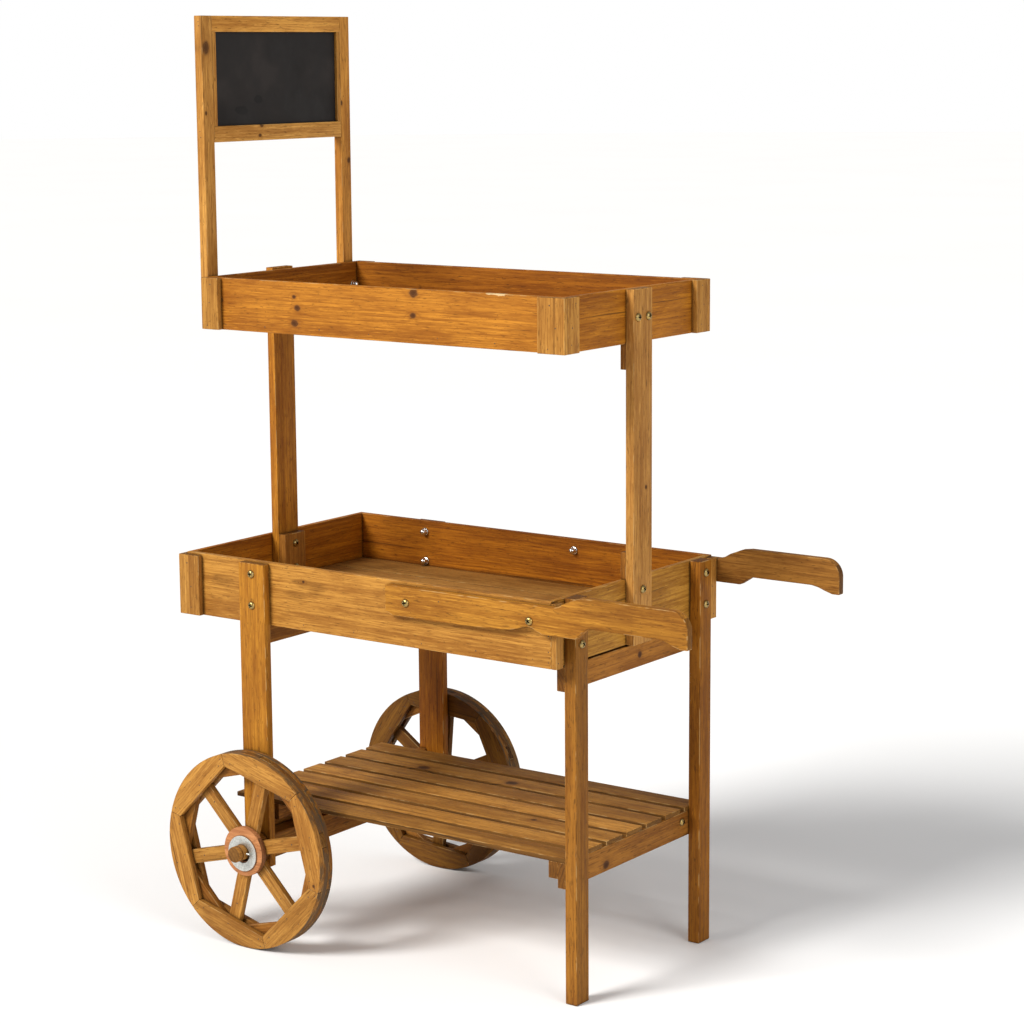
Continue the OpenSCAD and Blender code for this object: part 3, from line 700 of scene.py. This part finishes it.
def cap_nut():
    """A flanged cap nut, its seat at z = 0 and its dome towards +Z. Its sizes are in mm."""
    hexagon_radius, dome_radius, dome_foot, dome_middle = 5.7, 4.7, 4.4, 6.3
    bm = bmesh.new()
    flange = rounded_ring(0, 6.4, 0, 1.3, 0.4)
    add_lathe(bm, [(r * MM, z * MM) for r, z in flange], Vector(), 2, FASTENER_STEPS)
    hexagon = [Vector((math.cos(a), math.sin(a), 0)) * hexagon_radius * MM
               for a in (math.pi / 3 * k for k in range(6))]
    add_prism(bm, hexagon, 2, 0.9 * MM, 5.2 * MM, 0.45 * MM)
    arc = [(dome_radius * math.cos(a), dome_middle + dome_radius * math.sin(a))
           for a in (math.pi / 16 * k for k in range(8))]
    dome = [(dome_radius, dome_foot)] + arc + [(0, dome_middle + dome_radius), (0, dome_foot)]
    add_lathe(bm, [(r * MM, z * MM) for r, z in dome], Vector(), 2, FASTENER_STEPS)
    return as_mesh("cap_nut_form", bm)


def pointing(direction, spin):
    """A turn that takes +Z to direction, after a spin about it."""
    return direction.to_track_quat("Z", "Y").to_matrix().to_4x4() @ Matrix.Rotation(spin, 4, "Z")


def fasteners(node, form, materials):
    """Puts a finished form on each screw or nut of a CAD node, seated where the CAD seats it."""
    bm = bmesh.new()
    is_nut = node == "cap_nuts"
    for points, _ in solids(node):
        low, high = corners(points)
        middle = (low + high) / 2
        size = high - low
        axis = nut_axis(size) if is_nut else max(range(3), key=lambda a: size[a])

        # the widest points are the head's or the hexagon's, and the form points away from them
        away = [(p - middle - UNIT[axis] * (p - middle)[axis]).length for p in points]
        widest = [p[axis] for p, r in zip(points, away) if r > max(away) - WIDEST]
        forward = sum(widest) / len(widest) < middle[axis]
        direction = UNIT[axis] if forward else -UNIT[axis]
        origin = middle.copy()
        if is_nut:
            origin[axis] = low[axis] if forward else high[axis]
        else:
            origin[axis] = max(widest) if forward else min(widest)
        start = len(bm.verts)
        bm.from_mesh(form)
        bm.verts.ensure_lookup_table()
        turn = Matrix.Translation(origin) @ pointing(direction, rng.uniform(0, math.pi))
        bmesh.ops.transform(bm, matrix=turn, verts=bm.verts[start:])
    stand_for(node, node + "_metal", bm, materials)


def nut_axis(size):
    """A nut's axis: the one along which its size is nearest to a nut's length."""
    return min(range(3), key=lambda a: abs(size[a] - NUT_LENGTH))


class Nails:
    """Small sunk nail heads, gathered for one body."""

    def __init__(self, body, material):
        self.bm, self.body, self.material = bmesh.new(), body, material

    def add(self, at, normal, radius=1.0):
        """Puts a nail's head at a point of a face. Its radius is in mm and varies a little."""
        radius *= rng.uniform(0.8, 1.15) * MM
        start = len(self.bm.verts)
        sides = 12
        for share, level in ((1.0, -0.6), (1.0, 0.03), (0.7, 0.12), (0.001, 0.14)):
            for i in range(sides):
                a = 2 * math.pi * i / sides
                self.bm.verts.new((math.cos(a) * radius * share, math.sin(a) * radius * share, level * MM))
        self.bm.verts.ensure_lookup_table()
        v = self.bm.verts
        for r in range(3):
            for i in range(sides):
                j = (i + 1) % sides
                self.bm.faces.new((v[start + r * sides + i], v[start + r * sides + j],
                                   v[start + (r + 1) * sides + j], v[start + (r + 1) * sides + i]))
        self.bm.faces.new([v[start + i] for i in reversed(range(sides))])
        self.bm.faces.new([v[start + 3 * sides + i] for i in range(sides)])
        turn = Matrix.Translation(at) @ pointing(normal, 0)
        bmesh.ops.transform(self.bm, matrix=turn, verts=v[start:])

    def add_round(self, centre, face, angle, radius, way, head=1.0):
        """Puts a nail's head at an angle and a radius round a hub."""
        x = centre.x + radius * math.cos(angle)
        z = centre.z + radius * math.sin(angle)
        self.add(Vector((x, face, z)), Y * way, head)

    def done(self):
        piece = new_piece(self.body + "_nails", self.bm, self.body, [self.material])


# ---------------------------------------------------------------- materials in use

# Each palette is a light and a dark tint of the stain.
HONEY = ((0.560, 0.235, 0.030), (0.330, 0.118, 0.012))
AMBER = ((0.480, 0.168, 0.016), (0.280, 0.084, 0.0065))
STRAW = ((0.600, 0.290, 0.062), (0.370, 0.155, 0.027))
BROWN = ((0.350, 0.142, 0.020), (0.200, 0.071, 0.0085))
DUSTY = ((0.450, 0.208, 0.043), (0.250, 0.102, 0.018))
BRICK = ((0.520, 0.225, 0.085), (0.380, 0.150, 0.055))


def tinted(palette, red, green, blue):
    """A palette made lighter or darker, and warmer or cooler."""
    return tuple((r * red, g * green, b * blue) for r, g, b in palette)


brown_wood = pine("pine_brown", *BROWN)
trim_wood = pine("pine_trims", *tinted(STRAW, 0.84, 0.82, 0.72))
hub_wood = pine("hub_brick", *BRICK)
outer_tread = pine("tread_outer", *DUSTY, weathered=0.75)
middle_tread = pine("tread_middle", *tinted(BROWN, 0.60, 0.60, 0.70), weathered=0.70)
inner_tread = pine("tread_inner", *BROWN, weathered=0.95)
chrome = metal("cap_nut_chrome", (0.78, 0.77, 0.75), (0.66, 0.65, 0.62), 0.08)
brass = metal("screw_yellow_plating", (0.46, 0.30, 0.085), (0.30, 0.235, 0.11), 0.22)
# near black inside the screws' cross recess: painted shade
recess = metal("screw_recess_painted_shade", (0.020, 0.014, 0.007), (0.010, 0.008, 0.005), 0.70)
zinc = metal("washer_galvanised", (0.66, 0.67, 0.63), (0.50, 0.51, 0.48), 0.38, 0.5)
iron = nail_iron("nail_iron")
board_black = slate("blackboard_paint")


def out_from_hub(body, points):
    """The way from a wheel's hub to the middle of a solid's points, without its share along the axle."""
    out = sum(points, Vector()) / len(points) - hub_centre(body)
    out.y = 0
    return out


def angle_round_hub(body, points):
    """The angle of a solid's middle round a wheel's hub."""
    out = out_from_hub(body, points)
    return math.atan2(out.z, out.x)


def along_spoke(body):
    """The grain of a spoke, which runs out from the hub."""
    return lambda points: out_from_hub(body, points).normalized()


def along_rim(body):
    """The grain of a rim piece, which runs along its straight inner edge."""
    return lambda points: out_from_hub(body, points).normalized().cross(Y)


# ---------------------------------------------------------------- the trays, posts and legs

upper_near_wood = pine(
    "pine_upper_near", *tinted(HONEY, 0.93, 0.86, 0.62),
    knots=[(-0.147, 0.001, 0.0036, 0), (-0.153, -0.022, 0.0042, 0), (-0.153, 0.017, 0.0022, 0),
           (0.069, 0.001, 0.0032, 0), (0.070, 0.033, 0.0048, 0), (-0.297, 0.006, 0.0028, 0)],
    scuffs=[(0.222, 0.040, 0.0035, 0), (0.205, 0.040, 0.0028, 0)])
lower_near_wood = pine(
    "pine_lower_near", *tinted(HONEY, 0.87, 0.96, 1.28),
    knots=[(-0.108, 0.026, 0.0016, 0)],
    stains=[(-0.270, 0.014, 0.011, 0), (-0.122, 0.004, 0.011, 0), (-0.108, 0.022, 0.010, 0),
            (-0.085, 0.016, 0.012, 0)])
near_sign_post_wood = pine(
    "pine_sign_near", *tinted(STRAW, 0.98, 1.0, 1.0),
    knots=[(0.1785, -0.003, 0.0060, 0), (0.082, -0.006, 0.0020, 0)])
far_sign_post_wood = pine(
    "pine_sign_far", *tinted(STRAW, 1.10, 1.02, 0.80),
    knots=[(0.091, -0.010, 0.0024, 0), (0.0, 0.006, 0.0030, 0)])
sign_low_rail_wood = pine(
    "pine_sign_low_rail", *tinted(STRAW, 1.40, 1.48, 1.55),
    knots=[(-0.042, -0.011, 0.0026, 0), (-0.046, 0.004, 0.0022, 0)])
handle_end_post_wood = pine(
    "pine_post_handle", *tinted(STRAW, 0.88, 0.88, 0.92),
    knots=[(-0.029, 0.008, 0.0022, 0)])
slat_wood = pine(
    "pine_shelf_slats", *tinted(DUSTY, 1.04, 1.05, 0.95),
    knots=[(-0.155, 0.012, 0.0070, 5), (0.015, 0.006, 0.0070, 5), (0.16, -0.008, 0.0034, 2)])
shelf_rail_wood = pine(
    "pine_shelf_rail", *BROWN,
    knots=[(-0.075, 0.009, 0.0050, 0)])
near_handle_wood = pine(
    "pine_handle_near", *tinted(HONEY, 0.90, 0.94, 0.82),
    stains=[(0.120, 0.022, 0.026, 0), (0.160, 0.014, 0.030, 0), (0.200, 0.010, 0.028, 0),
            (0.232, -0.002, 0.022, 0)])

upper_end_wood = pine("pine_upper_end", *tinted(HONEY, 0.90, 0.80, 0.42))
lower_end_wood = pine("pine_lower_end", *tinted(HONEY, 0.98, 1.12, 1.25))
inside_wood = pine("pine_inside", *tinted(AMBER, 0.82, 0.80, 0.48))
lower_far_wood = pine("pine_lower_far", *tinted(AMBER, 0.94, 0.90, 0.40))
floor_wood = pine("pine_floor", *tinted(DUSTY, 0.86, 0.88, 0.88))
wheel_leg_wood = pine("pine_wheel_leg", *tinted(HONEY, 0.80, 0.80, 0.58))
wheel_end_post_wood = pine("pine_post_wheel_end", *tinted(HONEY, 1.06, 1.02, 0.72))
near_leg_wood = pine("pine_leg_near", *tinted(HONEY, 0.62, 0.60, 0.52))
far_leg_wood = pine("pine_leg_far", *tinted(BROWN, 0.92, 0.84, 0.42))
far_handle_wood = pine("pine_handle_far", *tinted(BROWN, 0.80, 0.84, 0.95))
tray_rail_wood = pine("pine_tray_rail", *tinted(BROWN, 1.15, 1.12, 1.05))
sign_top_rail_wood = pine("pine_sign_top_rail", *tinted(STRAW, 1.10, 1.10, 0.98))

timber("upper_side_near", upper_near_wood)
timber("upper_side_far", inside_wood)
timber("upper_end_wheel", inside_wood)
timber("upper_end_handle", upper_end_wood)
timber("upper_floor_slats", inside_wood, 0.8)
timber("upper_corner_trims", trim_wood, 1.0, Z)
timber("lower_side_near", lower_near_wood)
timber("lower_side_far", lower_far_wood)
timber("lower_end_wheel", lower_far_wood)
timber("lower_end_handle", lower_end_wood)
timber("lower_floor_slats", floor_wood, 0.8)
timber("lower_corner_trims", trim_wood, 1.0, Z)
timber("floor_battens", brown_wood)
timber("post_wheel_end", wheel_end_post_wood)
timber("post_handle_end", handle_end_post_wood)
timber("post_clamp_block", brown_wood, 1.1, Z)
timber("post_stop_blocks", brown_wood, 1.0, Z)
timber("wheel_leg_near", wheel_leg_wood, 1.3)
timber("wheel_leg_far", inside_wood, 1.3)
timber("handle_leg_near", near_leg_wood, 1.3)
timber("handle_leg_far", far_leg_wood, 1.3)
timber("tray_rail_wheel_end", brown_wood)
timber("tray_rail_handle_end", tray_rail_wood)
timber("tray_batten_handle_end", brown_wood)
timber("shelf_rail_wheel_end", brown_wood)
timber("shelf_rail_handle_end", shelf_rail_wood)
timber("shelf_batten_wheel_end", brown_wood)
timber("shelf_batten_handle_end", brown_wood)
# the slats' sides, in the gaps between them, are darkened as painted shade
timber("shelf_slats", slat_wood, 1.2, painted_side_shade=1.3)
timber("axle_beam", brown_wood, 1.5)
timber("handle_near", near_handle_wood, 1.6)
timber("handle_far", far_handle_wood, 1.6)
timber("sign_post_near", near_sign_post_wood)
timber("sign_post_far", far_sign_post_wood)
timber("sign_top_rail", sign_top_rail_wood)
timber("sign_bottom_rail", sign_low_rail_wood)
timber("sign_beads", trim_wood, 0.7)
turned("rail_dowels", brown_wood, X, 0.5)

# ---------------------------------------------------------------- the wheels

wheel_woods = {
    "near_wheel": pine("pine_wheel_near", *tinted(HONEY, 0.82, 0.93, 1.40)),
    "far_wheel": pine("pine_wheel_far", *tinted(HONEY, 0.33, 0.32, 0.22)),
}
axle_wood = pine("pine_axle", *DUSTY)

for body in WHEEL_BODIES:
    side = body.split("_")[0]
    rim_wood = wheel_woods[body]
    timber(side + "_rim_outer", rim_wood, 0.9, along_rim(body), outer_tread)
    timber(side + "_rim_middle", brown_wood, 0.9, along_rim(body), middle_tread)
    timber(side + "_rim_inner", rim_wood, 0.9, along_rim(body), inner_tread)
    timber(side + "_spokes", rim_wood, 1.2, along_spoke(body))
    turned(side + "_hub_outer", hub_wood, X, 1.2, steps=96)
    turned(side + "_hub_inner", brown_wood, X, 1.2, steps=96)


# The groove and the rounding at an axle end's tip, as (depth, distance from the tip), in mm
AXLE_TIP = ((0, 9.6), (1.1, 9.0), (1.3, 8.0), (1.1, 7.0), (0, 6.4), (0, 1.4), (0.5, 0.4), (1.4, 0))


def axle_section(centre, radius, half):
    """An axle end's section, with its tip on the side away from the cart."""
    out = 1 if centre.y > 0 else -1
    tip = [(radius - depth * MM, half - back * MM) for depth, back in AXLE_TIP]
    return [(r, out * h) for r, h in [(0, -half), (radius, -half)] + tip + [(0, half)]]


for side in ("near", "far"):
    turned("axle_end_" + side, axle_wood, Y, sections=axle_section, steps=48)
turned("axle_washers", zinc, X, 0.5)
turned("axle_pins", zinc, X, 0.6, steps=24)

# ---------------------------------------------------------------- blackboard and metal

low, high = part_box("blackboard")
bm = bmesh.new()
panel = [Vector((low.x, y, z)) for y, z in (
    (low.y, low.z), (high.y, low.z), (high.y, high.z), (low.y, high.z))]
add_prism(bm, panel, 0, low.x, high.x, 0.4 * MM)
stand_for("blackboard", "blackboard_panel", bm, [board_black])

head_form = screw_head()
for node in ("leg_screws", "handle_screws", "post_screws", "shelf_screws"):
    fasteners(node, head_form, [brass, recess])
fasteners("cap_nuts", cap_nut(), [chrome])

# ---------------------------------------------------------------- nails

RIM_NAIL_LIMIT = 147.5 * MM
SPOKE_NAIL_RADIUS = 92 * MM
SPOKE_NAIL_HEAD = 1.2
HANDLE_NAIL_X, HANDLE_NAIL_Z = 98 * MM, 30 * MM

cart_nails = Nails("cart", iron)

# the side boards, into the floor slats and, on the lower tray, into the end board
for node in ("upper_side_near", "upper_side_far", "lower_side_near", "lower_side_far"):
    low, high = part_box(node)
    out = -1 if node.endswith("near") else 1
    face = low.y if out < 0 else high.y
    for share in (0.05, 0.19, 0.33, 0.47, 0.66, 0.82, 0.95):
        x = low.x + (high.x - low.x) * share + rng.uniform(-8, 8) * MM
        cart_nails.add(Vector((x, face, low.z + rng.uniform(7, 11) * MM)), Y * out)
    if node.startswith("lower"):
        for z in (9, 24, 47, 70, 86):
            cart_nails.add(Vector((high.x - 4.5 * MM, face, low.z + z * MM)), Y * out)

# the corner trims
for node in ("upper_corner_trims", "lower_corner_trims"):
    tray_low, tray_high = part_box(node)
    for points, _ in solids(node):
        low, high = corners(points)
        size = high - low
        axis = min(range(3), key=lambda a: size[a])
        other = 1 - axis
        middle = (low + high) / 2
        out = 1 if middle[axis] > (tray_low[axis] + tray_high[axis]) / 2 else -1
        for share in (0.12, 0.5, 0.88):
            p = middle.copy()
            p.z = low.z + size.z * share + rng.uniform(-4, 4) * MM
            p[other] += rng.uniform(-0.22, 0.22) * size[other]
            p[axis] = high[axis] if out > 0 else low[axis]
            cart_nails.add(p, UNIT[axis] * out)

# the floor slats, over the battens that lie under them
battens = [corners(points) for points, _ in solids("floor_battens")]
for node in ("upper_floor_slats", "lower_floor_slats"):
    for points, _ in solids(node):
        low, high = corners(points)
        for b_low, b_high in battens:
            if 0 < low.z - b_high.z + 1 * MM < 5 * MM:
                for share in (0.22, 0.78):
                    x = (b_low.x + b_high.x) / 2 + rng.uniform(-7, 7) * MM
                    cart_nails.add(Vector((x, low.y + (high.y - low.y) * share, high.z)), Z)

# the shelf's slats, over the rails and battens that carry them
rests = [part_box(node) for node in (
    "shelf_rail_wheel_end", "shelf_batten_wheel_end", "shelf_rail_handle_end", "shelf_batten_handle_end")]
for points, _ in solids("shelf_slats"):
    low, high = corners(points)
    for k, (r_low, r_high) in enumerate(rests):
        x = (r_low.x + r_high.x) / 2 + rng.uniform(-3, 3) * MM
        share = (0.28, 0.72)[k % 2]
        cart_nails.add(Vector((x, low.y + (high.y - low.y) * share, high.z)), Z)

# the sign's posts, into the ends of its rails
rail_low, rail_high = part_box("sign_bottom_rail")
for node in ("sign_post_near", "sign_post_far"):
    low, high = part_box(node)
    out = -1 if node == "sign_post_near" else 1
    face = low.y if out < 0 else high.y
    for z in (high.z - 9 * MM, high.z - 15 * MM, rail_low.z + 8 * MM, rail_high.z - 7 * MM):
        x = (low.x + high.x) / 2 + rng.uniform(-2, 2) * MM
        cart_nails.add(Vector((x, face, z)), Y * out)

# the handles
for node in ("handle_near", "handle_far"):
    low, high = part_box(node)
    out = -1 if node == "handle_near" else 1
    face = low.y if out < 0 else high.y
    cart_nails.add(Vector((low.x + HANDLE_NAIL_X, face, low.z + HANDLE_NAIL_Z)), Y * out)
cart_nails.done()

# the wheels' rim pieces, and the spokes' outer ends
for body in WHEEL_BODIES:
    side = body.split("_")[0]
    out = -1 if side == "near" else 1
    centre = hub_centre(body)
    nails = Nails(body, iron)
    for node, way in ((side + "_rim_outer", out), (side + "_rim_inner", -out)):
        low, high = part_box(node)
        face = high.y if way > 0 else low.y
        for points, _ in solids(node):
            middle = angle_round_hub(body, points)
            for turn, reach in ((-2, 124), (3, 141), (-25, 134), (-27.5, 144), (25.5, 135), (27, 146)):
                angle = middle + math.radians(turn + rng.uniform(-1.2, 1.2))
                radius = min((reach + rng.uniform(-2, 2)) * MM, RIM_NAIL_LIMIT)
                nails.add_round(centre, face, angle, radius, way)
    low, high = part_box(side + "_spokes")
    face = high.y if out > 0 else low.y
    for points, _ in solids(side + "_spokes"):
        angle = angle_round_hub(body, points)
        nails.add_round(centre, face, angle, SPOKE_NAIL_RADIUS, out, SPOKE_NAIL_HEAD)
    nails.done()

# ---------------------------------------------------------------- floor, light and camera

def pale_floor():
    g = Graph("floor_pale")
    coordinates = g.coordinates()
    cloud = g.noise(coordinates, (0.8, 0.8, 0.8), 2.0)
    g.set("Base Color", g.mix(cloud, (0.90, 0.90, 0.90), (0.93, 0.93, 0.93)))
    g.set("Roughness", 0.9)
    g.set("Specular IOR Level", 0.1)
    return g.material


bm = bmesh.new()
bmesh.ops.create_circle(bm, cap_ends=True, segments=96, radius=40.0)
floor = bpy.data.objects.new("floor", as_mesh("floor", bm))
floor.location.z = -0.5 * MM
floor.data.materials.append(pale_floor())
bpy.context.scene.collection.objects.link(floor)


def area_light(name, at, target, size, power):
    data = bpy.data.lights.new(name, "AREA")
    data.size = size
    data.energy = power
    light = bpy.data.objects.new(name, data)
    light.location = at
    light.rotation_euler = (Vector(target) - Vector(at)).to_track_quat("-Z", "Y").to_euler()
    bpy.context.scene.collection.objects.link(light)


def sun_light(name, towards, strength, softness, colour):
    data = bpy.data.lights.new(name, "SUN")
    data.energy = strength
    data.angle = math.radians(softness)
    data.color = colour
    light = bpy.data.objects.new(name, data)
    light.rotation_euler = Vector(towards).to_track_quat("-Z", "Y").to_euler()
    bpy.context.scene.collection.objects.link(light)


sun_light("key", (0.33, 0.78, -0.66), 3.6, 22, (1.0, 0.985, 0.96))
area_light("fill", (4.4, -1.4, 2.6), (0, 0, 0.9), 2.5, 75)

# The camera sees a white room. Its light on the cart is weaker, so that the shading stays.
ROOM_SEEN, ROOM_LIGHT = 1.0, 0.42
world = bpy.data.worlds.new("studio")
bpy.context.scene.world = world
world.use_nodes = True
nodes, links = world.node_tree.nodes, world.node_tree.links
nodes.clear()
choose = nodes.new("ShaderNodeMixShader")
path = nodes.new("ShaderNodeLightPath")
output = nodes.new("ShaderNodeOutputWorld")
links.new(path.outputs["Is Camera Ray"], choose.inputs[0])
for socket, strength in ((1, ROOM_LIGHT), (2, ROOM_SEEN)):
    room = nodes.new("ShaderNodeBackground")
    room.inputs["Color"].default_value = (1, 1, 1, 1)
    room.inputs["Strength"].default_value = strength
    links.new(room.outputs[0], choose.inputs[socket])
links.new(choose.outputs[0], output.inputs["Surface"])

# The photo's viewpoint, view direction, lean and lens
CAMERA_AT = Vector((2.29838, -3.15199, 1.34575))
FORWARD = Vector((-0.57849, 0.79745, -0.17154)).normalized()
ROLL = math.radians(-0.42)
SENSOR_MM, LENS_MM = 36.0, 93.24
level = FORWARD.cross(Z).normalized()
upright = level.cross(FORWARD)
right = level * math.cos(ROLL) + upright * math.sin(ROLL)
up = upright * math.cos(ROLL) - level * math.sin(ROLL)
data = bpy.data.cameras.new("camera")
data.sensor_width = SENSOR_MM
data.lens = LENS_MM
camera = bpy.data.objects.new("camera", data)
camera.matrix_world = Matrix((
    (right.x, up.x, -FORWARD.x, CAMERA_AT.x), (right.y, up.y, -FORWARD.y, CAMERA_AT.y),
    (right.z, up.z, -FORWARD.z, CAMERA_AT.z), (0, 0, 0, 1)))
bpy.context.scene.collection.objects.link(camera)
bpy.context.scene.camera = camera
bpy.context.scene.view_settings.view_transform = "Standard"
